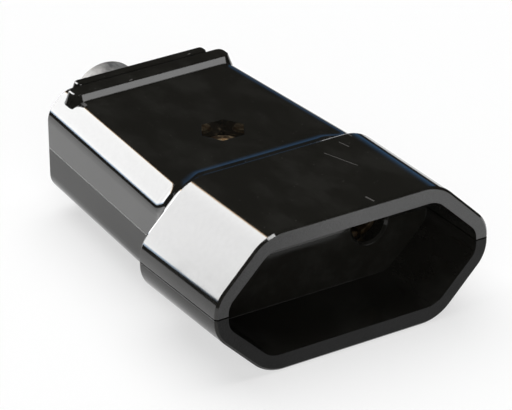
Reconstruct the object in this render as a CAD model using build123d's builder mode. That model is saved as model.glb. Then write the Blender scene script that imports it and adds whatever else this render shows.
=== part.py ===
from build123d import *
import os
from math import atan2, cos, degrees, pi, radians, sin, sqrt, tan

os.makedirs("parts", exist_ok=True)

# An in-line socket for a flat two-pin mains plug, in millimetres.
# Two moulded half shells meet at mid height and are closed by one screw and a hexagon nut. The plug goes
# into a six-sided recess at the front (-Y) and the cord enters through a sleeve at the rear (+Y).
# Heights inside the shells are measured from the parting plane, distances along the socket from its rim.
# The origin is under the middle of the whole socket, on the surface that the hood rests on.

# The plug that goes in
plug_width = 35.3
plug_height = 13.7
pin_spacing = 19.0
pin_diameter = 4.0
pin_length = 19.0

# Plug recess
recess_side_clearance = 0.65
recess_top_clearance = 0.5
recess_depth = 11.1
recess_top_flat = 24.6
recess_side_flat = 3.0
recess_top_radius = 3.2
recess_side_radius = 2.4
recess_wall = 2.2

# Hood around the recess
hood_side_wall = 1.85
hood_top_wall = 2.3
hood_top_flat = 25.5
hood_side_flat = 4.6
hood_top_radius = 6.0
hood_side_radius = 4.6
hood_length = 16.8
hood_rim_chamfer = 0.3
hood_seam_gap = 0.2

# Shoulder between hood and body: a lip, a steep face and a cove, each with its end and its share of the drop
shoulder_length = 4.4
lip_end = 0.3
lip_drop = 0.05
face_end = 1.9
face_drop = 0.86
cove_end = 2.9
cove_drop = 0.96
shoulder_tuck = 0.05

# Body behind the hood, as wide at the contacts as they need and tapering to the rear
body_taper = 4.0
body_height = 15.6
body_corner = 2.7
body_corner_radius = 3.0
body_end_chamfer = 0.8
body_wall = 1.8
rear_wall = 2.0

# Two finger ribs across the top at the rear, measured on their tops
front_rib_width = 2.45
front_rib_length = 23.8
rear_rib_width = 1.45
rear_rib_length = 19.8
rib_groove = 0.35
rib_inset = 0.8
rib_height = 1.0
rib_draft = 20.0
rib_end_radius = 0.9
rib_edge = 0.12

# Screw joint between the shells
screw_diameter = 3.0
screw_distance = 31.1
screw_clearance = 0.2
screw_head_diameter = 5.2
screw_head_height = 2.1
screw_head_depth = 0.7
screw_head_clearance = 0.3
screw_tip = 0.3
nut_flats = 5.4
nut_height = 2.4
nut_clearance = 0.06
nut_depth = 2.1
nut_corner_angle = 60.0
boss_wall = 1.3
slot_width = 0.7
slot_depth = 0.9

# Contacts
pin_hole_clearance = 0.5
pin_hole_chamfer = 0.35
contact_wall = 0.8
contact_front_gap = 0.2
contact_fit = 0.1
slit_width = 0.5
slit_length = 9.0
ring_width = 1.5
ring_thickness = 0.5
ring_groove = 0.25
ring_distance = 2.4
ring_fit = 0.02
ring_mouth = 70.0
block_size = 6.4
block_length = 9.2
block_chamfer = 0.4
block_side_gap = 0.3
block_web = 1.0
wire_diameter = 3.0
terminal_thread = 3.0
terminal_inset = 3.2
terminal_head_diameter = 4.8
terminal_head_height = 1.5
terminal_reach = 2.4
thread_fit = 0.05

# Ribs inside the shells
web_thickness = 1.2
front_web_distance = 20.0
wire_notch_diameter = 4.4

# Cord clamp
cord_diameter = 6.8
clamp_length = 5.0
clamp_front_gap = 1.8
clamp_thickness = 1.6
clamp_edge = 2.3
clamp_ridge = 0.5
clamp_ridge_width = 1.0
clamp_screw_spacing = 14.6
clamp_screw_diameter = 2.4
clamp_screw_clearance = 0.3
clamp_head_diameter = 4.2
clamp_head_height = 1.4
clamp_head_chamfer = 0.35
clamp_screw_depth = 6.0
post_diameter = 4.4
post_bore_depth = 7.0

# Cord sleeve
sleeve_diameter = 10.6
sleeve_reach = 8.9
sleeve_end_chamfer = 0.4
sleeve_fit = 0.1
flange_lip = 0.5
flange_thickness = 1.7
collar_gap = 1.5
collar_length = 1.5
collar_diameter = 8.8

# Pegs that line the shells up
peg_diameter = 2.0
peg_height = 1.5
peg_fit = 0.1
peg_distance = 14.6
peg_spacing = 34.0

# Sizes that follow from those above, from the hood to the contacts
recess_width = plug_width + 2 * recess_side_clearance
recess_height = plug_height + 2 * recess_top_clearance
hood_width = recess_width + 2 * hood_side_wall
hood_height = recess_height + 2 * hood_top_wall
parting = hood_height / 2
body_start = hood_length + shoulder_length
chamber_start = recess_depth + recess_wall
chamber_height = body_height / 2 - body_wall
pin_hole_radius = pin_diameter / 2 + pin_hole_clearance
contact_start = chamber_start + contact_front_gap
contact_bore = recess_depth + pin_length + pin_hole_clearance - contact_start
contact_radius = pin_diameter / 2 + contact_wall
ring_opening = contact_radius * sin(radians(ring_mouth / 2)) * 2
block_start = contact_start + contact_bore - block_web
block_end = block_start + block_length
terminal_distance = block_end - terminal_inset
block_pair_width = pin_spacing + block_size + 2 * block_side_gap

# Then from the cord clamp to the rear end
clamp_width = clamp_screw_spacing + 2 * clamp_edge
rear_web_distance = block_end + contact_fit
clamp_distance = rear_web_distance + web_thickness + clamp_front_gap + clamp_length / 2
flange_start = clamp_distance + clamp_length / 2 + collar_gap + collar_length
flange_end = flange_start + flange_thickness
chamber_end = flange_end + sleeve_fit
body_end = chamber_end + rear_wall
overall_length = body_end + sleeve_reach
sleeve_radius = sleeve_diameter / 2
rear_rib_start = body_end - rib_inset - rear_rib_width
front_rib_start = rear_rib_start - rib_groove - front_rib_width

# The screw joint
nut_pocket_depth = nut_depth + nut_height
nut_pocket_radius = (nut_flats / 2 + nut_clearance) / cos(pi / 6)
nut_seat = body_height / 2 - nut_pocket_depth
head_seat = body_height / 2 - screw_head_depth - screw_head_height
boss_radius = nut_pocket_radius + boss_wall
sides = {"left": -1, "right": 1}


def along(distance):
    """Y of a place that lies the given distance behind the front rim."""
    return distance - overall_length / 2


def cross_plane(distance):
    """Cross-section plane seen from the front: x to the right, y up, centred on the parting plane."""
    return Plane(origin=(0, along(distance), parting), x_dir=(1, 0, 0), z_dir=(0, -1, 0))


def level(height):
    """Horizontal plane at a height over the parting plane."""
    return Plane.XY.offset(parting + height)


def body_width(distance):
    """Width of the tapering body at a distance behind the front rim."""
    taper = (distance - block_end) / (body_end - body_start) * body_taper
    return block_pair_width + 2 * body_wall - taper


def eight_sided(distance, width, height, top_flat, side_flat, top_radius, side_radius):
    """Sketch of the rounded eight-sided outline that hood, body and hollows share."""
    x, z = width / 2, height / 2
    flat, rise = top_flat / 2, side_flat / 2
    corners = [(x, rise), (flat, z), (-flat, z), (-x, rise), (-x, -rise), (-flat, -z), (flat, -z), (x, -rise)]
    radii = [side_radius, top_radius, top_radius, side_radius] * 2
    with BuildSketch(cross_plane(distance)) as outline:
        with BuildLine():
            FilletPolyline(*corners, radius=radii, close=True)
        make_face()
    return outline.sketch


def body_sizes(distance, inset):
    """Width, height, flats and radii of the body's outline, drawn smaller all round by the inset."""
    width = body_width(distance) - 2 * inset
    height = body_height - 2 * inset
    corner = body_corner - inset * (2 - sqrt(2))
    radius = body_corner_radius - inset
    return width, height, width - 2 * corner, height - 2 * corner, radius, radius


def runs_back(edge):
    """Whether an edge runs from front to rear, along the taper or straight."""
    return abs((edge @ 1 - edge @ 0).normalized().Y) > 0.9


def tapered_block(start, end, inset, rounded):
    """Stretch of the body between two distances: a tapering slab, its long edges cut and perhaps rounded."""
    front_width, height, top_flat, side_flat, radius, radius = body_sizes(start, inset)
    narrowing = (body_width(start) - body_width(end)) / 2
    side_angle = 90 - degrees(atan2(narrowing, end - start))
    with BuildPart() as block:
        with BuildSketch(level(-height / 2)) as plan:
            with Locations((0, along((start + end) / 2))):
                Trapezoid(front_width, end - start, side_angle)
        extrude(amount=height)
        chamfer(block.edges().filter_by(runs_back), length=(height - side_flat) / 2)
        if rounded:
            fillet(block.edges().filter_by(runs_back), radius=radius)
    return block.part


def shoulder_outline(step, share):
    """Outline on the shoulder at a step behind the hood, with share 0 as at the hood and 1 as at the body."""
    hood = (hood_width, hood_height, hood_top_flat, hood_side_flat, hood_top_radius, hood_side_radius)
    body = body_sizes(body_start, shoulder_tuck)
    return eight_sided(hood_length + step, *[start + (end - start) * share for start, end in zip(hood, body)])


def wall_outline(distance):
    """Outline in the middle of the body's wall, which the ribs inside the shells run into."""
    return eight_sided(distance, *body_sizes(distance, body_wall / 2))


# Body and the chamber in it
body_block = tapered_block(hood_length, body_end, 0, rounded=True)
chamber_block = tapered_block(chamber_start, chamber_end, body_wall, rounded=False)

# Outside of both shells in one piece; the shoulder runs out just under the body's surface
with BuildPart() as outside:
    extrude(eight_sided(0, hood_width, hood_height, hood_top_flat, hood_side_flat,
                        hood_top_radius, hood_side_radius), amount=-hood_length)
    shoulder = [
        shoulder_outline(0, 0),
        shoulder_outline(lip_end, lip_drop),
        shoulder_outline(face_end, face_drop),
        shoulder_outline(cove_end, cove_drop),
        shoulder_outline(shoulder_length, 1),
    ]
    loft(shoulder, ruled=True)
    add(body_block)
    rear_face = outside.faces().sort_by(Axis.Y)[-1]
    chamfer(rear_face.edges(), length=body_end_chamfer)
    front_face = outside.faces().sort_by(Axis.Y)[0]
    chamfer(front_face.edges(), length=hood_rim_chamfer)

# Finger ribs, wider at the foot than on top, which reach down into the body's upper wall
rib_tops = [
    (front_rib_start, front_rib_width, front_rib_length),
    (rear_rib_start, rear_rib_width, rear_rib_length),
]
with BuildPart() as finger_ribs:
    for start, width, length in rib_tops:
        with BuildSketch(level(body_height / 2 + rib_height)) as rib_top:
            with Locations((0, along(start + width / 2))):
                RectangleRounded(length, width, rib_end_radius * width / front_rib_width)
        extrude(amount=-rib_height - body_wall / 2, taper=-rib_draft)
    chamfer(finger_ribs.faces().group_by(Axis.Z)[-1].edges(), length=rib_edge)

# Plug recess, pin holes and the chamber behind them
with BuildPart() as hollows:
    extrude(eight_sided(0, recess_width, recess_height, recess_top_flat, recess_side_flat,
                        recess_top_radius, recess_side_radius), amount=-recess_depth)
    with BuildSketch(cross_plane(recess_depth)) as pin_mouths:
        with GridLocations(pin_spacing, 0, 2, 1):
            Circle(pin_hole_radius + pin_hole_chamfer)
    extrude(amount=-pin_hole_chamfer, taper=45)
    with BuildSketch(cross_plane(recess_depth)) as pin_holes:
        with GridLocations(pin_spacing, 0, 2, 1):
            Circle(pin_hole_radius)
    extrude(amount=-recess_wall)
    add(chamber_block)

# What passes through the ribs and the rear wall: contacts, wires, sleeve and the screw
with BuildPart() as passages:
    with BuildSketch(cross_plane(contact_start)) as contact_ways:
        with GridLocations(pin_spacing, 0, 2, 1):
            Circle(contact_radius + contact_fit)
    extrude(amount=contact_start - block_start)
    with BuildSketch(cross_plane(block_end)) as wire_ways:
        with GridLocations(pin_spacing, 0, 2, 1):
            Circle(wire_notch_diameter / 2)
    extrude(amount=block_end - clamp_distance)
    with BuildSketch(cross_plane(flange_start)) as collar_way:
        Circle(collar_diameter / 2 + sleeve_fit)
    extrude(amount=2 * web_thickness)
    with BuildSketch(cross_plane(chamber_end)) as sleeve_way:
        Circle(sleeve_radius + sleeve_fit)
    extrude(amount=-rear_wall)
    with BuildSketch(level(0)) as screw_way:
        with Locations((0, along(screw_distance))):
            Circle(screw_diameter / 2 + screw_clearance)
    extrude(amount=body_height / 2, both=True)

# Cross ribs that hold the contacts and the sleeve, the walls beside the screw and the boss round it
web_distances = [
    front_web_distance,
    block_start - contact_fit - web_thickness,
    rear_web_distance,
    flange_start - sleeve_fit - web_thickness,
]
with BuildPart() as webs:
    for distance in web_distances:
        extrude(wall_outline(distance), amount=-web_thickness)
    with BuildSketch(level(0)) as wall_feet:
        with Locations((0, along((chamber_start + block_end) / 2))):
            with GridLocations(pin_spacing - block_size - 2 * contact_fit - web_thickness, 0, 2, 1):
                Rectangle(web_thickness, block_end - chamber_start + web_thickness)
        with Locations((0, along(screw_distance))):
            Circle(boss_radius)
    extrude(amount=chamber_height + body_wall / 2, both=True)
    add(passages.part, mode=Mode.SUBTRACT)

# Both shells together
with BuildPart() as housing:
    add(outside.part)
    add(finger_ribs.part)
    add(hollows.part, mode=Mode.SUBTRACT)
    add(webs.part)
    add(passages.part, mode=Mode.SUBTRACT)

# Upper shell with the nut's pocket
with BuildPart() as upper_shell:
    add(housing.part)
    split(bisect_by=level(0), keep=Keep.TOP)
    with BuildSketch(level(body_height / 2)) as nut_pocket:
        with Locations((0, along(screw_distance))):
            RegularPolygon(nut_pocket_radius, 6)
    extrude(amount=-nut_pocket_depth, mode=Mode.SUBTRACT)
    with BuildSketch(level(0)) as rim_gap:
        with Locations((0, along(body_start / 2))):
            Rectangle(hood_width, body_start)
            Rectangle(recess_width, body_start, mode=Mode.SUBTRACT)
    extrude(amount=hood_seam_gap, mode=Mode.SUBTRACT)
    with BuildSketch(level(0)) as peg_holes:
        with Locations((0, along(peg_distance))):
            with GridLocations(peg_spacing, 0, 2, 1):
                Circle(peg_diameter / 2 + peg_fit)
    extrude(amount=peg_height + peg_fit, mode=Mode.SUBTRACT)

upper_shell.part.label = "upper_shell"
export_step(upper_shell.part, "parts/upper_shell.step")

# Lower shell with the screw's counterbore, the clamp's posts, the cord's cradle and the pegs
with BuildPart() as lower_shell:
    add(housing.part)
    split(bisect_by=level(0), keep=Keep.BOTTOM)
    with BuildSketch(level(-head_seat)) as head_bore:
        with Locations((0, along(screw_distance))):
            Circle(screw_head_diameter / 2 + screw_head_clearance)
    extrude(amount=head_seat - body_height / 2, mode=Mode.SUBTRACT)
    with BuildSketch(level(0)) as post_feet:
        with Locations((0, along(clamp_distance))):
            with GridLocations(clamp_screw_spacing, 0, 2, 1):
                Circle(post_diameter / 2)
            Rectangle(clamp_screw_spacing, web_thickness)
    extrude(amount=-chamber_height - body_wall / 2)
    with BuildSketch(level(0)) as post_bores:
        with Locations((0, along(clamp_distance))):
            with GridLocations(clamp_screw_spacing, 0, 2, 1):
                Circle(clamp_screw_diameter / 2 + thread_fit)
    extrude(amount=-post_bore_depth, mode=Mode.SUBTRACT)
    with BuildSketch(cross_plane(clamp_distance)) as cradle:
        Circle(cord_diameter / 2)
    extrude(amount=web_thickness, both=True, mode=Mode.SUBTRACT)
    with BuildSketch(level(0)) as peg_feet:
        with Locations((0, along(peg_distance))):
            with GridLocations(peg_spacing, 0, 2, 1):
                Circle(peg_diameter / 2)
    extrude(amount=peg_height)

lower_shell.part.label = "lower_shell"
export_step(lower_shell.part, "parts/lower_shell.step")

# Contacts: a slit sleeve that grips the pin, and behind it the block that clamps the wire
for side, sign in sides.items():
    axis_x = sign * pin_spacing / 2
    with BuildPart() as contact:
        with BuildSketch(cross_plane(contact_start)) as sleeve_round:
            with Locations((axis_x, 0)):
                Circle(contact_radius)
        extrude(amount=contact_start - block_start)
        with BuildSketch(cross_plane(block_start)) as block_square:
            with Locations((axis_x, 0)):
                Rectangle(block_size, block_size)
        extrude(amount=-block_length)
        long_edges = contact.edges().filter_by(Axis.Y).filter_by(GeomType.LINE)
        chamfer(long_edges.sort_by(SortBy.LENGTH)[-4:], length=block_chamfer)
        with BuildSketch(cross_plane(contact_start)) as pin_bore:
            with Locations((axis_x, 0)):
                Circle(pin_diameter / 2)
        extrude(amount=-contact_bore, mode=Mode.SUBTRACT)
        with BuildSketch(cross_plane(block_end)) as wire_bore:
            with Locations((axis_x, 0)):
                Circle(wire_diameter / 2)
        extrude(amount=block_length - 2 * block_web, mode=Mode.SUBTRACT)
        with BuildSketch(level(0)) as screw_bore:
            with Locations((axis_x, along(terminal_distance))):
                Circle(terminal_thread / 2)
        extrude(amount=block_size / 2, mode=Mode.SUBTRACT)
        with BuildSketch(cross_plane(contact_start)) as slits:
            with Locations((axis_x, 0)):
                Rectangle(slit_width, block_size)
        extrude(amount=-slit_length, mode=Mode.SUBTRACT)
        with BuildSketch(cross_plane(contact_start + ring_distance)) as ring_seat:
            with Locations((axis_x, 0)):
                Circle(block_size / 2)
                Circle(contact_radius - ring_groove, mode=Mode.SUBTRACT)
        extrude(amount=-ring_width - 2 * ring_fit, mode=Mode.SUBTRACT)
    contact.part.label = f"contact_{side}"
    export_step(contact.part, f"parts/contact_{side}.step")

    with BuildPart() as contact_spring:
        with BuildSketch(cross_plane(contact_start + ring_distance + ring_fit)) as ring_section:
            with Locations((axis_x, 0)):
                Circle(contact_radius - ring_groove + ring_fit + ring_thickness)
                Circle(contact_radius - ring_groove + ring_fit, mode=Mode.SUBTRACT)
            with Locations((axis_x, -contact_radius)):
                Rectangle(ring_opening, contact_radius, mode=Mode.SUBTRACT)
        extrude(amount=-ring_width)
    contact_spring.part.label = f"contact_spring_{side}"
    export_step(contact_spring.part, f"parts/contact_spring_{side}.step")

    with BuildPart() as terminal_screw:
        with BuildSketch(level(block_size / 2)) as head:
            with Locations((axis_x, along(terminal_distance))):
                Circle(terminal_head_diameter / 2)
        extrude(amount=terminal_head_height)
        chamfer(terminal_screw.edges().sort_by(Axis.Z)[-1], length=block_chamfer / 2)
        with BuildSketch(level(block_size / 2)) as shank:
            with Locations((axis_x, along(terminal_distance))):
                Circle(terminal_thread / 2 - thread_fit)
        extrude(amount=-terminal_reach)
        with BuildSketch(level(block_size / 2 + terminal_head_height)) as slot:
            with Locations((axis_x, along(terminal_distance))):
                Rectangle(terminal_head_diameter, slot_width)
        extrude(amount=-slot_depth, mode=Mode.SUBTRACT)
    terminal_screw.part.label = f"terminal_screw_{side}"
    export_step(terminal_screw.part, f"parts/terminal_screw_{side}.step")

# Arched strap that presses the cord into its cradle
with BuildPart() as cord_clamp:
    with BuildSketch(cross_plane(clamp_distance)) as strap:
        with BuildLine():
            Polyline((-clamp_width / 2, 0), (clamp_width / 2, 0), (clamp_width / 2, clamp_thickness),
                     (-clamp_width / 2, clamp_thickness), (-clamp_width / 2, 0))
        make_face()
        Circle(cord_diameter / 2 + clamp_thickness)
        Circle(cord_diameter / 2, mode=Mode.SUBTRACT)
        split(bisect_by=Plane.XZ, keep=Keep.BOTTOM)
    extrude(amount=clamp_length / 2, both=True)
    with BuildSketch(cross_plane(clamp_distance)) as ridge:
        Circle(cord_diameter / 2)
        Circle(cord_diameter / 2 - clamp_ridge, mode=Mode.SUBTRACT)
        split(bisect_by=Plane.XZ, keep=Keep.BOTTOM)
    extrude(amount=clamp_ridge_width / 2, both=True)
    with BuildSketch(level(0)) as strap_holes:
        with Locations((0, along(clamp_distance))):
            with GridLocations(clamp_screw_spacing, 0, 2, 1):
                Circle(clamp_screw_diameter / 2 + clamp_screw_clearance)
    extrude(amount=clamp_thickness, mode=Mode.SUBTRACT)

cord_clamp.part.label = "cord_clamp"
export_step(cord_clamp.part, "parts/cord_clamp.step")

for side, sign in sides.items():
    screw_place = (sign * clamp_screw_spacing / 2, along(clamp_distance))
    with BuildPart() as clamp_screw:
        with BuildSketch(level(clamp_thickness)) as head:
            with Locations(screw_place):
                Circle(clamp_head_diameter / 2)
        extrude(amount=clamp_head_height)
        chamfer(clamp_screw.edges().sort_by(Axis.Z)[-1], length=clamp_head_chamfer)
        with BuildSketch(level(clamp_thickness)) as shank:
            with Locations(screw_place):
                Circle(clamp_screw_diameter / 2)
        extrude(amount=-clamp_thickness - clamp_screw_depth)
        with BuildSketch(level(clamp_thickness + clamp_head_height)) as slot:
            with Locations(screw_place):
                Rectangle(clamp_head_diameter, slot_width)
        extrude(amount=-slot_depth, mode=Mode.SUBTRACT)
    clamp_screw.part.label = f"clamp_screw_{side}"
    export_step(clamp_screw.part, f"parts/clamp_screw_{side}.step")

# Screw that closes the shells, put in from below
with BuildPart() as closing_screw:
    with BuildSketch(level(-head_seat)) as head:
        with Locations((0, along(screw_distance))):
            Circle(screw_head_diameter / 2)
    extrude(amount=-screw_head_height)
    chamfer(closing_screw.edges().sort_by(Axis.Z)[0], length=screw_tip)
    with BuildSketch(level(-head_seat)) as shank:
        with Locations((0, along(screw_distance))):
            Circle(screw_diameter / 2 - thread_fit)
    extrude(amount=head_seat + nut_seat + nut_height + screw_tip)
    chamfer(closing_screw.edges().sort_by(Axis.Z)[-1], length=screw_tip)
    with BuildSketch(level(-head_seat - screw_head_height)) as slot:
        with Locations((0, along(screw_distance))):
            Rectangle(screw_head_diameter, slot_width)
    extrude(amount=slot_depth, mode=Mode.SUBTRACT)

closing_screw.part.label = "closing_screw"
export_step(closing_screw.part, "parts/closing_screw.step")

# Hexagon nut in its pocket, corners turned off at the top
with BuildPart() as closing_nut:
    with BuildSketch(level(nut_seat)) as hexagon:
        with Locations((0, along(screw_distance))):
            RegularPolygon(nut_flats / 2 / cos(pi / 6), 6)
    extrude(amount=nut_height)
    with BuildSketch(level(nut_seat)) as turned:
        with Locations((0, along(screw_distance))):
            Circle(nut_flats / 2 + nut_height * tan(radians(nut_corner_angle)))
    extrude(amount=nut_height, taper=nut_corner_angle, mode=Mode.INTERSECT)
    with BuildSketch(level(nut_seat)) as thread_bore:
        with Locations((0, along(screw_distance))):
            Circle(screw_diameter / 2)
    extrude(amount=nut_height, mode=Mode.SUBTRACT)

closing_nut.part.label = "closing_nut"
export_step(closing_nut.part, "parts/closing_nut.step")

# Sleeve for the cord, its flange held between a rib and the rear wall
with BuildPart() as cord_gland:
    with BuildSketch(Plane.XY.offset(parting)) as profile:
        with BuildLine():
            Polyline(
                (cord_diameter / 2, along(flange_start - collar_length)),
                (collar_diameter / 2, along(flange_start - collar_length)),
                (collar_diameter / 2, along(flange_start)),
                (sleeve_radius + flange_lip, along(flange_start)),
                (sleeve_radius + flange_lip, along(flange_end)),
                (sleeve_radius, along(flange_end)),
                (sleeve_radius, along(overall_length)),
                (cord_diameter / 2, along(overall_length)),
                (cord_diameter / 2, along(flange_start - collar_length)),
            )
        make_face()
        outer_corner = profile.vertices().group_by(Axis.Y)[-1].sort_by(Axis.X)[-1]
        chamfer(outer_corner, length=sleeve_end_chamfer)
    revolve(axis=Axis((0, 0, parting), (0, 1, 0)))

cord_gland.part.label = "cord_gland"
export_step(cord_gland.part, "parts/cord_gland.step")
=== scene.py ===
# %% [markdown]
# # A black in-line socket on a white table
#
# The socket is two glossy black shells, closed by one screw and a brass nut, with a grey sleeve at the rear
# for the cord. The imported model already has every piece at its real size. This lesson gives the pieces
# their surfaces, adds the detail that is too fine for the model, and lights them the way a small studio
# would.

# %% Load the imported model
from functools import reduce
from math import cos, pi, radians, sin

import bmesh
import bpy
from mathutils import Matrix, Vector


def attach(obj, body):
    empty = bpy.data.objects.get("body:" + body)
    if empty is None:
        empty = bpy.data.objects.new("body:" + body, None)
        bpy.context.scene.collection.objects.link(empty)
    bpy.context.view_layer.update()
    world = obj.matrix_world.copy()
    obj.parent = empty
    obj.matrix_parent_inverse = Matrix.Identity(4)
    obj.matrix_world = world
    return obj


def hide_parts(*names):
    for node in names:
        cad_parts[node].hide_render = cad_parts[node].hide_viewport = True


MM = 0.001

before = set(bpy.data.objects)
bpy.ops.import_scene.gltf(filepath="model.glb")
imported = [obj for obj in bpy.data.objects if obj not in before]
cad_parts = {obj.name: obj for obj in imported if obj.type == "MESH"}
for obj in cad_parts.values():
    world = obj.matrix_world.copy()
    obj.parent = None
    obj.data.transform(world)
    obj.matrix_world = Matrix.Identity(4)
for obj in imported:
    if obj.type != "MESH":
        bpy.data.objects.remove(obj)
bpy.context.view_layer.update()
bpy.context.scene.view_settings.view_transform = "Standard"
print("nodes:", ", ".join(sorted(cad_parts)))

# %% [markdown]
# ## Camera
#
# The socket is seen from its front left corner and from above, through a long lens, so its edges stay
# almost parallel. Lens, direction and distance were fitted to the corners of the rim, the rear end and the
# nut's pocket. The camera could be turned by three angles; here it is built from the direction it looks in,
# because that direction is also what decides which lamp shows in which face.

# %% Camera
CAMERA_TURN = radians(-31.57)
CAMERA_RISE = radians(27.26)
CAMERA_ROLL = radians(-0.72)
CAMERA_AIM = Vector((-0.98, -9.77, 10.91)) * MM
CAMERA_DISTANCE = 451.0 * MM
CAMERA_NEAREST = 10.0 * MM
CAMERA_LENS, CAMERA_SENSOR = 247.8, 36.0


def add_camera():
    """Camera at a distance from the aimed point, turned round it and raised above the table."""
    back = Vector((
        sin(CAMERA_TURN) * cos(CAMERA_RISE),
        -cos(CAMERA_TURN) * cos(CAMERA_RISE),
        sin(CAMERA_RISE),
    ))
    camera = bpy.data.objects.new("camera", bpy.data.cameras.new("camera"))
    bpy.context.scene.collection.objects.link(camera)
    camera.data.sensor_width = CAMERA_SENSOR
    camera.data.lens = CAMERA_LENS
    camera.data.clip_start = CAMERA_NEAREST
    camera.location = CAMERA_AIM + back * CAMERA_DISTANCE
    level = back.to_track_quat("Z", "Y").to_matrix()
    camera.rotation_euler = (level @ Matrix.Rotation(CAMERA_ROLL, 3, "Z")).to_euler()
    bpy.context.scene.camera = camera
    return camera


camera = add_camera()
print("camera at", [round(v, 4) for v in camera.location])

# %% [markdown]
# ## Node trees without clutter
#
# A material is a small graph. Each of these helpers adds one kind of node and joins it up, so that the
# recipes below read as sentences. Every effect that several materials share is a node group with named
# sockets.

# %% Helpers for nodes
def fill(tree, sockets, values):
    """Input sockets set to numbers or linked to other sockets, by name or number."""
    for key, value in values.items():
        if isinstance(value, bpy.types.NodeSocket):
            tree.links.new(value, sockets[key])
        else:
            sockets[key].default_value = value


def add_node(tree, kind, inputs=None, **settings):
    """One node with its settings and its inputs."""
    node = tree.nodes.new(kind)
    for name, value in settings.items():
        setattr(node, name, value)
    fill(tree, node.inputs, inputs or {})
    return node


def math(tree, operation, first, second=0.0, clamp=False):
    """Result of one sum on numbers or sockets."""
    node = add_node(tree, "ShaderNodeMath", {0: first, 1: second}, operation=operation, use_clamp=clamp)
    return node.outputs[0]


def product(tree, *factors):
    """Several numbers or sockets multiplied."""
    return reduce(lambda done, factor: math(tree, "MULTIPLY", done, factor), factors)


def total(tree, *terms):
    """Several numbers or sockets added."""
    return reduce(lambda done, term: math(tree, "ADD", done, term), terms)


def smooth_range(tree, value, low, high, to_low=0.0, to_high=1.0):
    """A value's share of the way from low to high, eased at both ends."""
    inputs = {"Value": value, "From Min": low, "From Max": high, "To Min": to_low, "To Max": to_high}
    return add_node(tree, "ShaderNodeMapRange", inputs, interpolation_type="SMOOTHSTEP").outputs["Result"]


def noise(tree, place, scale, detail, roughness=0.5):
    """Noise from 0 to 1 in patches, its scale in patches per unit of the place."""
    inputs = {"Vector": place, "Scale": scale, "Detail": detail, "Roughness": roughness}
    return add_node(tree, "ShaderNodeTexNoise", inputs).outputs["Fac"]


def axes_of(tree, vector):
    """The X, Y and Z of a vector."""
    return add_node(tree, "ShaderNodeSeparateXYZ", {0: vector}).outputs


def level_vector(tree, x, y):
    """A vector that lies level."""
    return add_node(tree, "ShaderNodeCombineXYZ", {0: x, 1: y}).outputs[0]


def scaled(tree, vector, scale):
    """A vector made longer or shorter."""
    return add_node(tree, "ShaderNodeVectorMath", {0: vector, "Scale": scale}, operation="SCALE").outputs[0]


def vector_math(tree, operation, first, second):
    """Result of one sum on vectors: a number for dot products and distances, or else a vector."""
    node = add_node(tree, "ShaderNodeVectorMath", {0: first, 1: second}, operation=operation)
    return node.outputs["Value" if operation in ("DOT_PRODUCT", "DISTANCE") else "Vector"]


def bumped(tree, height, **others):
    """The direction a surface faces with its small heights, which are in metres."""
    return add_node(tree, "ShaderNodeBump", {"Height": height, "Distance": 1.0, **others}).outputs[0]


def mix_colours(tree, share, first, second):
    """Two colours mixed by a share."""
    node = add_node(tree, "ShaderNodeMix", data_type="RGBA")
    fill(tree, node.inputs, {0: share, 6: first, 7: second})
    return node.outputs[2]


def grey(level, warmth=0.0):
    """A grey as a colour, a little warmer or cooler."""
    return (level * (1 + warmth), level, level * (1 - warmth), 1.0)


# %% Helpers for materials and node groups
def empty_tree(owner):
    """Node tree of a material or a world, without nodes."""
    owner.use_nodes = True
    owner.node_tree.nodes.clear()
    return owner.node_tree


def new_material(name):
    """An empty material with its Principled shader joined to the output."""
    material = bpy.data.materials.new(name)
    tree = empty_tree(material)
    shader = add_node(tree, "ShaderNodeBsdfPrincipled")
    add_node(tree, "ShaderNodeOutputMaterial", {"Surface": shader.outputs["BSDF"]})
    return material, tree, shader


def new_group(name, inputs, outputs, vectors=()):
    """An empty node group that takes numbers and gives vectors and numbers, all with names."""
    group = bpy.data.node_groups.new(name, "ShaderNodeTree")
    for label, value in inputs.items():
        socket = group.interface.new_socket(label, in_out="INPUT", socket_type="NodeSocketFloat")
        socket.default_value = value
    for label in vectors:
        group.interface.new_socket(label, in_out="OUTPUT", socket_type="NodeSocketVector")
    for label in outputs:
        group.interface.new_socket(label, in_out="OUTPUT", socket_type="NodeSocketFloat")
    given = add_node(group, "NodeGroupInput").outputs
    result = add_node(group, "NodeGroupOutput").inputs
    return group, given, result


def use_group(tree, group, values=None):
    """The group placed in a tree with its own values."""
    return add_node(tree, "ShaderNodeGroup", values, node_tree=group).outputs


# %% [markdown]
# ## Table, studio and lamps
#
# Black gloss has almost no colour of its own: what we see on it is the room. The long faces that lean to
# the left show one large soft box that stands behind the socket on the left, so they turn white. Its cloth
# is warm along one side and bluish along its foot. The top faces look into the dark of the studio and stay
# black. A low blue glow beyond the table on the right shows as thin blue lines where the top edges round
# off, and the upright sides and the rim show the white table. Two small boxes are there only to be
# mirrored, by the ribs' front faces and by the brass. Two large ones light only what is matt, from above
# and from the front left.

# %% Dark studio with a low blue glow
TABLE_EDGE = -0.105
BELOW_TABLE = 0.9
BLUE_LOW, BLUE_SHARP, BLUE_HIGH = 0.035, 0.06, 0.36
BLUE_RIGHT, BLUE_BEHIND = (0.25, 0.45), (0.2, 0.5)
BLUE_GLOW = (0.055, 0.15, 0.30, 1.0)
STUDIO_DARK = (0.012, 0.012, 0.011, 1.0)


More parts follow.
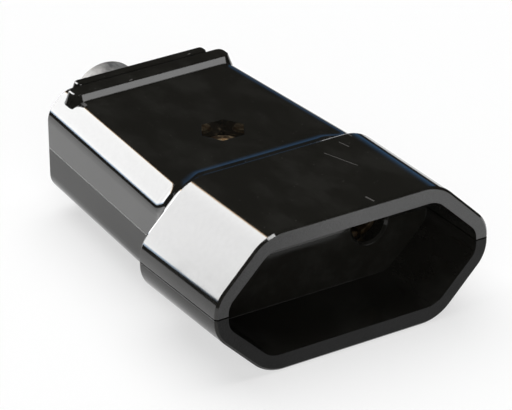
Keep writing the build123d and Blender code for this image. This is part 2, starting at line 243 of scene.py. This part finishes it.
def add_studio():
    """World that is white to the camera and dark above the table for everything that reflects it."""
    world = bpy.data.worlds.new("studio")
    bpy.context.scene.world = world
    tree = empty_tree(world)
    axes = axes_of(tree, add_node(tree, "ShaderNodeTexCoord").outputs["Generated"])
    rise = smooth_range(tree, axes["Z"], BLUE_LOW, BLUE_SHARP)
    fall = smooth_range(tree, axes["Z"], BLUE_SHARP, BLUE_HIGH, 1.0, 0.0)
    to_the_right = smooth_range(tree, axes["X"], *BLUE_RIGHT)
    behind = smooth_range(tree, axes["Y"], *BLUE_BEHIND)
    glow = product(tree, rise, fall, to_the_right, behind)
    above_table = mix_colours(tree, glow, STUDIO_DARK, BLUE_GLOW)
    below = math(tree, "LESS_THAN", axes["Z"], TABLE_EDGE)
    surroundings = mix_colours(tree, below, above_table, grey(BELOW_TABLE))
    seen = add_node(tree, "ShaderNodeLightPath").outputs["Is Camera Ray"]
    colour = mix_colours(tree, seen, surroundings, grey(1.0))
    background = add_node(tree, "ShaderNodeBackground", {"Color": colour, "Strength": 1.0})
    add_node(tree, "ShaderNodeOutputWorld", {"Surface": background.outputs[0]})
    return world


studio = add_studio()
print("world:", studio.name)

# %% White table
TABLE_RADIUS = 165.0 * MM
TABLE_FADE, TABLE_FADED = 85.0 * MM, 0.9 * TABLE_RADIUS
TABLE_SIDES = 96
TABLE_WHITE = 0.95
TABLE_GLOW = 0.62
TABLE_DROP = 0.03 * MM


def table_material():
    """Matt white that glows where it is seen, and more so towards the edge, to run out into the white."""
    material = bpy.data.materials.new("white_table")
    tree = empty_tree(material)
    white = add_node(tree, "ShaderNodeBsdfDiffuse", {"Color": grey(TABLE_WHITE)}).outputs[0]
    glow = add_node(tree, "ShaderNodeEmission", {"Color": grey(1.0), "Strength": 1.0}).outputs[0]
    place = add_node(tree, "ShaderNodeTexCoord").outputs["Object"]
    distance = add_node(tree, "ShaderNodeVectorMath", {0: place}, operation="LENGTH").outputs["Value"]
    glowing = smooth_range(tree, distance, TABLE_FADE, TABLE_FADED, TABLE_GLOW, 1.0)
    path = add_node(tree, "ShaderNodeLightPath").outputs
    seen = math(tree, "MAXIMUM", path["Is Camera Ray"], path["Is Glossy Ray"])
    surface = add_node(tree, "ShaderNodeMixShader", {0: product(tree, glowing, seen), 1: white, 2: glow})
    add_node(tree, "ShaderNodeOutputMaterial", {"Surface": surface.outputs[0]})
    return material


def add_table():
    """A round table top, a hair below the socket's flat underside."""
    mesh = bpy.data.meshes.new("table")
    shape = bmesh.new()
    bmesh.ops.create_circle(shape, cap_ends=True, segments=TABLE_SIDES, radius=TABLE_RADIUS)
    shape.to_mesh(mesh)
    shape.free()
    mesh.materials.append(table_material())
    table = bpy.data.objects.new("table", mesh)
    bpy.context.scene.collection.objects.link(table)
    table.location.z = -TABLE_DROP
    return table


table = add_table()
print("table:", table.name)

# %% Lamps
BAND_DIRECTION = (-0.364, 0.781, 0.508)
BAND_WIDTH, BAND_HEIGHT = 0.66, 0.83
WARM_WIDTH, COOL_HEIGHT = 0.035, 0.07
LAMPS = {
    "band_box": dict(direction=BAND_DIRECTION, size=(BAND_WIDTH, BAND_HEIGHT), radiance=9.6),
    "warm_edge": dict(
        direction=BAND_DIRECTION, size=(WARM_WIDTH, BAND_HEIGHT), radiance=5.0, colour=(1.0, 0.72, 0.45),
        aside=(-(BAND_WIDTH + WARM_WIDTH) / 2, 0),
    ),
    "cool_edge": dict(
        direction=BAND_DIRECTION, size=(BAND_WIDTH, COOL_HEIGHT), radiance=5.0, colour=(0.62, 0.8, 1.0),
        aside=(0, -(BAND_HEIGHT + COOL_HEIGHT) / 2),
    ),
    "rib_box": dict(direction=(0.465, -0.875, 0.14), size=(0.36, 0.2), radiance=3.1),
    "nut_box": dict(direction=(-0.05, -0.45, 1.0), size=(0.5, 0.5), radiance=9.0),
    "top_box": dict(
        direction=(0.08, 0.3, 1.0), size=(1.5, 1.5), radiance=2.7, distance=1.2, mirrored=False,
    ),
    "front_box": dict(
        direction=(-0.42, -0.8, 0.38), size=(1.1, 0.8), radiance=2.8, distance=1.2, mirrored=False,
    ),
}


def add_soft_box(
    name, direction, size, radiance, distance=1.0, colour=(1, 1, 1), aside=(0, 0), mirrored=True,
):
    """Rectangular lamp that faces the socket from a direction, slid aside in its own plane.

    It is either only mirrored or only lights what is matt.
    """
    lamp = bpy.data.lights.new(name, "AREA")
    lamp.shape = "RECTANGLE"
    lamp.size, lamp.size_y = size
    lamp.energy = radiance * pi * lamp.size * lamp.size_y
    lamp.color = colour
    box = bpy.data.objects.new(name, lamp)
    bpy.context.scene.collection.objects.link(box)
    away = Vector(direction).normalized()
    turn = away.to_track_quat("Z", "Y")
    box.location = away * distance + turn @ Vector((*aside, 0))
    box.rotation_euler = turn.to_euler()
    box.visible_glossy = mirrored
    box.visible_diffuse = not mirrored


for name, settings in LAMPS.items():
    add_soft_box(name, **settings)
print("lamps:", ", ".join(LAMPS))

# %% [markdown]
# ## Where things are on the socket
#
# Detail on the shells depends on the place: a rim that was ground, a seam at half height, dust on what
# faces up. The plainest way is to ask each point for its place in millimetres and for the way its face
# looks. One node group answers both, so every material measures from the same points.

# %% Places in millimetres
RIM_PLACE = -31.3
SEAM_HEIGHT = 9.65
TOP_FACES = 15.0
FACING_UP, FACING_FRONT = (0.8, 0.95), (-0.8, -0.95)


def place_group():
    """Place, distance behind the rim and above the seam, and share of facing up on top or to the front."""
    group, _, result = new_group("place", {}, ["From Rim", "Above Seam", "Up", "Front"], vectors=["Place"])
    spot = add_node(group, "ShaderNodeTexCoord").outputs
    place = scaled(group, spot["Object"], 1 / MM)
    axes, facing = axes_of(group, place), axes_of(group, spot["Normal"])
    on_top = math(group, "GREATER_THAN", axes["Z"], TOP_FACES)
    fill(group, result, {
        "Place": place,
        "From Rim": math(group, "SUBTRACT", axes["Y"], RIM_PLACE),
        "Above Seam": math(group, "SUBTRACT", axes["Z"], SEAM_HEIGHT),
        "Up": product(group, smooth_range(group, facing["Z"], *FACING_UP), on_top),
        "Front": smooth_range(group, facing["Y"], *FACING_FRONT),
    })
    return group


PLACE = place_group()
print("group:", PLACE.name)

# %% [markdown]
# ## Marks of use
#
# Close to, the black gloss is never clean: dust has settled on it, fingers left smudges that dull it, and a
# pin has scratched the hood's top. Dust and smudges are noise at the size of the real thing. A scratch is
# the set of points that lie near a line between two places, which is easier to steer than noise.

# %% Dust, smudges, grain and scratches
DUST_DOT = (0.13, 0.05)
SMUDGE_STRETCH = (1.0, 0.5, 1.0)
GRAIN_RANGE = (0.3, 0.7)
SCRATCH_ENDS = {"From X": 0.0, "From Y": 0.0, "To X": 1.0, "To Y": 1.0}
SCRATCH_CORE = 0.4


def dust_group():
    """Small specks at random places: cells that hold one dot each, most of them left empty."""
    group, given, result = new_group("dust", {"Scale": 1.7, "Share": 0.22}, ["Dust"])
    inputs = {"Vector": use_group(group, PLACE)["Place"], "Scale": given["Scale"], "Randomness": 1.0}
    cells = add_node(group, "ShaderNodeTexVoronoi", inputs).outputs
    dot = smooth_range(group, cells["Distance"], *DUST_DOT)
    pick = add_node(group, "ShaderNodeSeparateColor", {0: cells["Color"]}).outputs["Red"]
    filled = math(group, "LESS_THAN", pick, given["Share"])
    fill(group, result, {"Dust": product(group, dot, filled)})
    return group


def smudge_group():
    """Soft patches where the gloss is dulled, drawn out along the socket."""
    group, given, result = new_group("smudges", {"Scale": 0.22, "Low": 0.42, "High": 0.7}, ["Smudge"])
    drawn_out = vector_math(group, "MULTIPLY", use_group(group, PLACE)["Place"], SMUDGE_STRETCH)
    patches = noise(group, drawn_out, given["Scale"], detail=6.0, roughness=0.62)
    fill(group, result, {"Smudge": smooth_range(group, patches, given["Low"], given["High"])})
    return group


def grain_group():
    """Fine even grain from 0 to 1, for ground plastic, turned metal and the sleeve's rubber."""
    group, given, result = new_group("grain", {"Scale": 6.0, "Detail": 3.0}, ["Grain"])
    patches = noise(group, use_group(group, PLACE)["Place"], given["Scale"], given["Detail"])
    fill(group, result, {"Grain": smooth_range(group, patches, *GRAIN_RANGE)})
    return group


def scratch_group():
    """Points on the top faces that lie within a width of a line between two places."""
    group, given, result = new_group("scratch", {**SCRATCH_ENDS, "Width": 0.1}, ["Scratch"])
    spot = use_group(group, PLACE)
    axes = axes_of(group, spot["Place"])
    here = level_vector(group, axes["X"], axes["Y"])
    start = level_vector(group, given["From X"], given["From Y"])
    end = level_vector(group, given["To X"], given["To Y"])
    along = vector_math(group, "SUBTRACT", end, start)
    away = vector_math(group, "SUBTRACT", here, start)
    reach = vector_math(group, "DOT_PRODUCT", away, along)
    whole = vector_math(group, "DOT_PRODUCT", along, along)
    share = math(group, "DIVIDE", reach, whole, clamp=True)
    gap = vector_math(group, "DISTANCE", away, scaled(group, along, share))
    near = smooth_range(group, gap, given["Width"], product(group, given["Width"], SCRATCH_CORE))
    fill(group, result, {"Scratch": product(group, near, spot["Up"])})
    return group


DUST, SMUDGES, GRAIN, SCRATCH = dust_group(), smudge_group(), grain_group(), scratch_group()
print("groups:", ", ".join(group.name for group in (DUST, SMUDGES, GRAIN, SCRATCH)))


def grain(tree, scale, detail):
    """The grain of one material."""
    return use_group(tree, GRAIN, {"Scale": scale, "Detail": detail})["Grain"]


# %% [markdown]
# ## Black gloss of the shells
#
# The shells are moulded in black plastic. Their skin copied a polished mould, so it is glossy, with the
# faint waviness of plastic that shrank as it cooled. Only the hood's rim was ground flat, and is matt with
# a fine light speckle. The gloss is a coat, which fingers have worn off near the rim and low on the hood.
# The real mould had small roundings where faces meet. A Bevel node gives them to the light alone, so that
# each edge shows a thin bright or dark line, without a thousand extra faces.

# %% Heights of the shells
FILLET_END_TOP, FILLET_END_SIDE = 23.6, 21.9
FILLET_SIDE = (9.0, 13.5)
FILLET_WIDTH = 2.2
FILLET_CURVE = 0.183
WAVE_HEIGHT = 0.012 * MM
GROUND_HEIGHT = 0.02 * MM


def fillet_reach(tree, spot):
    """How far a point lies into the fillet between body and hood, in mm, up to the fillet's width."""
    aside = math(tree, "ABSOLUTE", axes_of(tree, spot["Place"])["X"])
    end = smooth_range(tree, aside, *FILLET_SIDE, FILLET_END_TOP, FILLET_END_SIDE)
    into = math(tree, "MAXIMUM", math(tree, "SUBTRACT", end, spot["From Rim"]), 0.0)
    return math(tree, "MINIMUM", into, FILLET_WIDTH)


def shell_height(tree, spot, ground, into):
    """Heights in metres: waviness, the fillet where the body meets the hood and the ground rim's grain."""
    waves = product(tree, noise(tree, spot["Place"], scale=0.16, detail=1.0), WAVE_HEIGHT)
    fillet = product(tree, into, into, 0.5 * FILLET_CURVE * MM)
    rough = product(tree, grain(tree, 5.0, 4.0), ground, GROUND_HEIGHT)
    return total(tree, waves, fillet, rough)


print("fillet behind the hood in mm:", FILLET_WIDTH)

# %% Colour of the shells
BLACK, BLACK_SMUDGED = (0.0105, 0.0100, 0.0084, 1.0), (0.0170, 0.0165, 0.0145, 1.0)
RIM_DARK, RIM_LIGHT = 0.2, 1.6
SPECKLE_SHARE = 0.35
# painted light: the rim grows paler towards its right over this range of X in mm
PAINTED_LIGHT_FROM_LEFT, PAINTED_LIGHT_SHARE = (-19.0, 2.0), 0.65
DUST_SHARE, DUST_GREY = 0.3, grey(0.2, 0.05)
SCRATCH_SHARE, SCRATCH_GREY = 0.45, grey(0.2, 0.03)
SCRATCHES = {
    "long": (10.4, -9.6, 10.9, -13.9, 0.13),
    "beside it": (11.6, -10.4, 12.0, -13.2, 0.09),
    "crossing": (5.3, -16.2, 6.9, -21.4, 0.08),
    "short": (8.6, -14.6, 8.9, -16.3, 0.1),
    "near the rim": (3.0, -29.2, 3.2, -30.6, 0.16),
    "nick at the rib's left end": (-11.9, 16.1, -11.6, 16.5, 0.22),
    "nick on the rib": (-3.6, 17.5, -3.2, 17.6, 0.14),
    "nick at the rib's right end": (7.1, 20.3, 7.4, 20.4, 0.14),
}
BODY_START = 21.2
SEAM_EDGE, SEAM_WOBBLE = (0.11, 0.05), 0.05
# painted highlight: a pale line along the seam, on the body
SEAM_HIGHLIGHT_SHARE, SEAM_HIGHLIGHT_GREY = 0.7, grey(0.42)


def seam_line(tree, spot):
    """Share of the seam between the shells, a little uneven, on the body only, where it is dulled and given a
    painted highlight.
    """
    wobble = product(tree, grain(tree, 0.9, 3.0), SEAM_WOBBLE)
    off_seam = math(tree, "ABSOLUTE", total(tree, spot["Above Seam"], wobble))
    body_only = math(tree, "GREATER_THAN", spot["From Rim"], BODY_START)
    return product(tree, smooth_range(tree, off_seam, *SEAM_EDGE), body_only)


def shell_colour(tree, spot, smudge, ground, seam, rim_level):
    """Smudged black and the speckled rim, made paler to the right by painted light, with dust, scratches and
    the seam's painted highlight over them.
    """
    black = mix_colours(tree, smudge, BLACK, BLACK_SMUDGED)
    speckle = product(tree, grain(tree, 7.0, 2.0), SPECKLE_SHARE)
    # painted light: the rim grows paler towards its right
    paler = smooth_range(tree, axes_of(tree, spot["Place"])["X"], *PAINTED_LIGHT_FROM_LEFT, 0.0, PAINTED_LIGHT_SHARE)
    speckle_and_painted_light = total(tree, speckle, paler)
    rim = mix_colours(tree, speckle_and_painted_light, grey(rim_level * RIM_DARK), grey(rim_level * RIM_LIGHT))
    colour = mix_colours(tree, ground, black, rim)
    dust = product(tree, use_group(tree, DUST)["Dust"], spot["Up"], DUST_SHARE)
    colour = mix_colours(tree, dust, colour, DUST_GREY)
    for line in SCRATCHES.values():
        mark = use_group(tree, SCRATCH, dict(zip((*SCRATCH_ENDS, "Width"), line)))["Scratch"]
        colour = mix_colours(tree, product(tree, mark, SCRATCH_SHARE), colour, SCRATCH_GREY)
    # painted highlight: a pale line along the seam, on the body
    return mix_colours(tree, product(tree, seam, SEAM_HIGHLIGHT_SHARE), colour, SEAM_HIGHLIGHT_GREY)


print("scratches:", ", ".join(SCRATCHES))

# %% Gloss of the shells
RIM_DEPTH = (0.5, 0.3)
WORN_BEHIND_RIM, WORN_ABOVE_SEAM = (17.0, 4.0), (7.0, 1.0)
WORN_EVEN, WORN_IN_PATCHES = 0.4, 0.6
WORN_OFF = 0.95
FILM = 0.1
COAT_FADE = (0.1, 0.7)
GLOSS_ROUGHNESS, WORN_ROUGHNESS, DULL_ROUGHNESS = 0.06, 0.12, 0.42
EDGE_ROUNDING = 0.16 * MM


def finger_wear(tree, spot, smudge):
    """Share of the gloss that fingers wore, near the rim and low on the hood."""
    near_rim = smooth_range(tree, spot["From Rim"], *WORN_BEHIND_RIM)
    low = smooth_range(tree, spot["Above Seam"], *WORN_ABOVE_SEAM)
    patchy = total(tree, product(tree, smudge, WORN_IN_PATCHES), WORN_EVEN)
    return product(tree, near_rim, low, patchy)


def fillet_coat(tree, into):
    """Share of the coat left in the fillet, because only what lies under the coat follows its curve."""
    inside = math(tree, "LESS_THAN", into, FILLET_WIDTH)
    faded = product(tree, smooth_range(tree, into, *COAT_FADE), inside)
    return math(tree, "SUBTRACT", 1.0, faded)


def shell_material(name, specular, coat, rim_level):
    """Black plastic, glossy on all faces but the ground front rim, which painted light makes paler to the
    right.
    """
    material, tree, shader = new_material(name)
    spot = use_group(tree, PLACE)
    smudge = use_group(tree, SMUDGES)["Smudge"]
    ground = product(tree, smooth_range(tree, spot["From Rim"], *RIM_DEPTH), spot["Front"])
    seam = seam_line(tree, spot)
    dull = math(tree, "MAXIMUM", ground, seam)
    worn = finger_wear(tree, spot, smudge)
    film = product(tree, grain(tree, 1.6, 5.0), FILM)
    left_by_wear = math(tree, "SUBTRACT", 1.0, product(tree, worn, WORN_OFF))
    left_by_film = math(tree, "SUBTRACT", 1.0, math(tree, "MAXIMUM", dull, film))
    rough_by_wear = product(tree, worn, WORN_ROUGHNESS)
    into = fillet_reach(tree, spot)
    rounded = add_node(tree, "ShaderNodeBevel", {"Radius": EDGE_ROUNDING}, samples=4).outputs[0]
    fill(tree, shader.inputs, {
        "Base Color": shell_colour(tree, spot, smudge, ground, seam, rim_level),
        "Roughness": total(tree, product(tree, dull, DULL_ROUGHNESS), rough_by_wear, GLOSS_ROUGHNESS),
        "IOR": 1.5,
        "Specular IOR Level": specular,
        "Coat Weight": product(tree, left_by_wear, left_by_film, fillet_coat(tree, into), coat),
        "Coat Roughness": 0.05,
        "Normal": bumped(tree, shell_height(tree, spot, ground, into), Normal=rounded),
    })
    return material


# The lower shell's rim is painted darker, as shade, by its far lower rim_level.
upper_black = shell_material("upper_black", specular=0.5, coat=0.42, rim_level=0.055)
lower_black = shell_material("lower_black", specular=0.22, coat=0.12, rim_level=0.008)
print("shells:", upper_black.name, lower_black.name)

# %% [markdown]
# ## Brass of the nut, the screw and the contacts
#
# The nut sits deep in its pocket, with the screw's cut end in the middle. Brass this small is turned on a
# machine and then tarnishes, so it is rough metal with darker stains. The nut's dark stains are partly
# tarnish and partly painted shade of its deep pocket, and the contacts are painted dark all over as the
# shade deep in the pin holes. The screw's thread shows as fine rings round it. It could be modelled as
# a helix, but at this size rings in the height do the same.

# %% Brass and steel
THREAD_PITCH = 0.5
TURNED_HEIGHT = 0.05 * MM
STAIN_SCALE, STAIN_EDGE = 1.3, 0.2
STAIN_NOT_METAL = 0.5
TURNED_ROUGHNESS = 0.2


def metal_material(name, bright, stained, roughness, thread=0.0, clean=0.4):
    """Turned metal with stains, and with rings of a thread, in mm of height, where it has one."""
    material, tree, shader = new_material(name)
    stains = {"Scale": STAIN_SCALE, "Low": clean, "High": clean + STAIN_EDGE}
    stain = use_group(tree, SMUDGES, stains)["Smudge"]
    turned = grain(tree, 4.0, 4.0)
    level = axes_of(tree, use_group(tree, PLACE)["Place"])["Z"]
    rings = math(tree, "SINE", product(tree, level, 2 * pi / THREAD_PITCH))
    height = total(tree, product(tree, rings, thread * MM), product(tree, turned, TURNED_HEIGHT))
    fill(tree, shader.inputs, {
        "Base Color": mix_colours(tree, stain, bright, stained),
        "Metallic": math(tree, "SUBTRACT", 1.0, product(tree, stain, STAIN_NOT_METAL)),
        "Roughness": total(tree, product(tree, turned, TURNED_ROUGHNESS), roughness),
        "Normal": bumped(tree, height),
    })
    return material


screw_brass = metal_material("screw_brass", (0.95, 0.78, 0.50, 1), (0.30, 0.17, 0.07, 1), 0.25, thread=0.06)
# The nut's dark stains are partly tarnish and partly painted shade of its deep pocket.
nut_brass = metal_material("nut_brass", (0.90, 0.70, 0.44, 1), (0.05, 0.03, 0.015, 1), 0.28, clean=0.28)
# painted shade: the contacts are dark as the shade deep in the pin holes
contact_brass_painted_dark = metal_material("contact_brass_painted_dark", (0.16, 0.11, 0.06, 1), (0.07, 0.05, 0.03, 1), 0.3)
spring_steel = metal_material("spring_steel", (0.62, 0.61, 0.58, 1), (0.35, 0.33, 0.30, 1), 0.22)
plated_steel = metal_material("plated_steel", (0.72, 0.71, 0.67, 1), (0.48, 0.46, 0.40, 1), 0.26, thread=0.03)
print("metals:", screw_brass.name, nut_brass.name, contact_brass_painted_dark.name, spring_steel.name, plated_steel.name)

# %% [markdown]
# ## Grey sleeve and the cord clamp
#
# The sleeve is matt grey rubber, mottled all over, with painted light that makes it paler on its left. The
# clamp is black plastic with a moulded, slightly rough skin. Both are noise in colour and height, with
# hardly any gloss.

# %% Sleeve and clamp materials
# painted light: the sleeve grows paler towards its left over this range of X in mm
PAINTED_LIGHT_TO_LEFT = (0.0, -4.5)
MOTTLE = {"Scale": 0.7, "Low": 0.35, "High": 0.65}
MATT_GRAIN_ROUGHNESS = 0.15


def matt_material(name, dark, light, roughness, grain_height, painted_light_side=0.0):
    """Matt rubber or plastic, mottled in colour and grainy in height, with painted light that makes one side
    paler.
    """
    material, tree, shader = new_material(name)
    across = axes_of(tree, use_group(tree, PLACE)["Place"])["X"]
    # painted light on the sleeve's left
    paler = smooth_range(tree, across, *PAINTED_LIGHT_TO_LEFT, 0.0, painted_light_side)
    mottle = product(tree, use_group(tree, SMUDGES, MOTTLE)["Smudge"], 1.0 - painted_light_side)
    grainy = grain(tree, 5.0, 4.0)
    fill(tree, shader.inputs, {
        "Base Color": mix_colours(tree, total(tree, mottle, paler), dark, light),
        "Roughness": total(tree, product(tree, grainy, MATT_GRAIN_ROUGHNESS), roughness),
        "IOR": 1.48,
        "Normal": bumped(tree, product(tree, grainy, grain_height * MM)),
    })
    return material


# 0.75 is the share of painted light that makes the sleeve paler on its left
sleeve_rubber = matt_material("sleeve_rubber", grey(0.045), grey(0.62, 0.03), 0.42, 0.03, painted_light_side=0.75)
clamp_plastic = matt_material("clamp_plastic", grey(0.015), grey(0.03), 0.4, 0.02)
print("matt:", sleeve_rubber.name, clamp_plastic.name)

# %% [markdown]
# ## Shells with a crisp shoulder
#
# Behind the hood the casing steps down to the narrower body. On the real moulding the hood keeps its full
# size a little further back, and then falls steeply. Both shells are copied, and the rings of points on the
# outer skin are slid along the socket, each to its place. Sliding keeps the mesh whole, which cutting it
# would not.

# %% Shells
SHOULDER_RINGS = ((16.8, 18.2), (17.1, 18.45), (18.7, 19.2), (19.7, 20.2))
SKIN_SIDE, SKIN_TOP, SKIN_CORNER = 15.2, 7.0, 18.5
RING_SLACK = 0.01


def slid(from_rim):
    """New distance from the rim of a ring of the shoulder, between the rings in even steps."""
    for (old_start, new_start), (old_end, new_end) in zip(SHOULDER_RINGS, SHOULDER_RINGS[1:]):
        if old_start - RING_SLACK <= from_rim <= old_end + RING_SLACK:
            return new_start + (new_end - new_start) * (from_rim - old_start) / (old_end - old_start)
    return from_rim


def add_shell(node_name, name):
    """Copy of a packed shell whose shoulder is slid to its place."""
    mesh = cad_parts[node_name].data.copy()
    mesh.name = name
    moved = 0
    for point in mesh.vertices:
        side, level = abs(point.co.x) / MM, abs(point.co.z / MM - SEAM_HEIGHT)
        if side > SKIN_SIDE or level > SKIN_TOP or side + level > SKIN_CORNER:
            from_rim = point.co.y / MM - RIM_PLACE
            point.co.y = (slid(from_rim) + RIM_PLACE) * MM
            moved += abs(slid(from_rim) - from_rim) > RING_SLACK
    shell = bpy.data.objects.new(name, mesh)
    bpy.context.scene.collection.objects.link(shell)
    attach(shell, "root")
    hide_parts(node_name)
    print(name, "points slid:", moved)
    return shell


# %% Materials on the pieces
looks = {
    "upper_shell": upper_black,
    "lower_shell": lower_black,
    "cord_gland": sleeve_rubber,
    "closing_nut": nut_brass,
    "closing_screw": screw_brass,
    "contact_left": contact_brass_painted_dark,
    "contact_right": contact_brass_painted_dark,
    "contact_spring_left": spring_steel,
    "contact_spring_right": spring_steel,
    "terminal_screw_left": plated_steel,
    "terminal_screw_right": plated_steel,
    "cord_clamp": clamp_plastic,
    "clamp_screw_left": plated_steel,
    "clamp_screw_right": plated_steel,
}
for name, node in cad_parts.items():
    for place in node.material_slots:
        place.material = looks[name]
upper_casing = add_shell("upper_shell", "upper_casing")
lower_casing = add_shell("lower_shell", "lower_casing")
print("dressed:", len(looks), "pieces, two of them shown by", upper_casing.name, "and", lower_casing.name)
